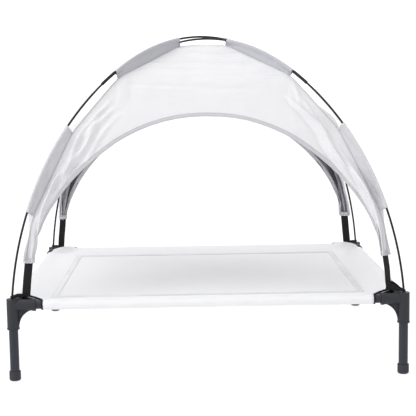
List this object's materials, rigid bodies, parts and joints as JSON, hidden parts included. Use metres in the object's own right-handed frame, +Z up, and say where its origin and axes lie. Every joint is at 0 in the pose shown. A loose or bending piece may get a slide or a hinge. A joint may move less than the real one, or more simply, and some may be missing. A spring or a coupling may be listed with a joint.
{
  "type": "raised dog bed with canopy",
  "caption": "Raised rectangular dog bed: a mesh deck on a tube frame with push-fit corner fittings and legs, under a lift-off white canopy on crossed bent poles.",
  "frame": {"origin": "on the floor, below the middle of the bed", "axes": "+X to the bed's right, +Y to its rear, +Z up"},
  "size_m": [0.9084, 0.7584, 0.7767],
  "materials": {
    "fitting_plastic": "fine moulded grain, dark grey",
    "leg_paint": "satin dark grey powder coat",
    "rail_paint": "satin dark grey powder coat",
    "foot_rubber": "matt dark grey rubber",
    "deck_mesh": "white coated mesh weave",
    "white_tape": "white woven tape",
    "black_binding": "black binding tape",
    "pole_black": "smooth black fibreglass",
    "ferrule_metal": "black painted metal tube",
    "elastic_cord": "woven elastic cord",
    "tip_metal": "turned aluminium",
    "canopy_cloth": "white coated polyester",
    "sleeve_cloth": "light grey polyester, two plies",
    "webbing_black": "ribbed black webbing"
  },
  "bodies": {
    "bed_frame": {"corner_fitting_front_left": "fitting_plastic", "corner_fitting_front_right": "fitting_plastic", "corner_fitting_rear_left": "fitting_plastic", "corner_fitting_rear_right": "fitting_plastic", "rail_front": "rail_paint", "rail_rear": "rail_paint", "rail_left": "rail_paint", "rail_right": "rail_paint", "deck_sheet": "deck_mesh", "deck_tape": "white_tape", "rail_sleeve_front": "deck_mesh", "rail_sleeve_right": "deck_mesh", "rail_sleeve_rear": "deck_mesh", "rail_sleeve_left": "deck_mesh", "corner_binding_front_left": "black_binding", "corner_binding_front_right": "black_binding", "corner_binding_rear_left": "black_binding", "corner_binding_rear_right": "black_binding"},
    "canopy": {"pole_a_front": "pole_black", "pole_a_top": "pole_black", "pole_a_rear": "pole_black", "ferrule_a_front": "ferrule_metal", "ferrule_a_rear": "ferrule_metal", "shock_cord_a": "elastic_cord", "pole_b_front": "pole_black", "pole_b_top": "pole_black", "pole_b_rear": "pole_black", "ferrule_b_front": "ferrule_metal", "ferrule_b_rear": "ferrule_metal", "shock_cord_b": "elastic_cord", "pole_tips": "tip_metal", "canopy_panel_front": "canopy_cloth", "canopy_panel_right": "canopy_cloth", "canopy_panel_rear": "canopy_cloth", "canopy_panel_left": "canopy_cloth", "canopy_hem_front": "canopy_cloth", "canopy_hem_right": "canopy_cloth", "canopy_hem_rear": "canopy_cloth", "canopy_hem_left": "canopy_cloth", "pole_sleeve_upper_front_left": "sleeve_cloth", "pole_sleeve_lower_front_left": "sleeve_cloth", "strap_front_left": "webbing_black", "pole_sleeve_upper_front_right": "sleeve_cloth", "pole_sleeve_lower_front_right": "sleeve_cloth", "strap_front_right": "webbing_black", "pole_sleeve_upper_rear_left": "sleeve_cloth", "pole_sleeve_lower_rear_left": "sleeve_cloth", "strap_rear_left": "webbing_black", "pole_sleeve_upper_rear_right": "sleeve_cloth", "pole_sleeve_lower_rear_right": "sleeve_cloth", "strap_rear_right": "webbing_black"},
    "leg_front_left": {"leg_tube_front_left": "leg_paint", "foot_front_left": "foot_rubber"},
    "leg_front_right": {"leg_tube_front_right": "leg_paint", "foot_front_right": "foot_rubber"},
    "leg_rear_left": {"leg_tube_rear_left": "leg_paint", "foot_rear_left": "foot_rubber"},
    "leg_rear_right": {"leg_tube_rear_right": "leg_paint", "foot_rear_right": "foot_rubber"}
  },
  "joints": [
    {"name": "canopy_lift", "type": "slide", "parent": "bed_frame", "child": "canopy", "axis": [0, 0, 1], "range_m": [0, 0.06]},
    {"name": "leg_pull_front_left", "type": "slide", "parent": "bed_frame", "child": "leg_front_left", "axis": [0, 0, -1], "range_m": [0, 0.045]},
    {"name": "leg_pull_front_right", "type": "slide", "parent": "bed_frame", "child": "leg_front_right", "axis": [0, 0, -1], "range_m": [0, 0.045]},
    {"name": "leg_pull_rear_left", "type": "slide", "parent": "bed_frame", "child": "leg_rear_left", "axis": [0, 0, -1], "range_m": [0, 0.045]},
    {"name": "leg_pull_rear_right", "type": "slide", "parent": "bed_frame", "child": "leg_rear_right", "axis": [0, 0, -1], "range_m": [0, 0.045]}
  ]
}
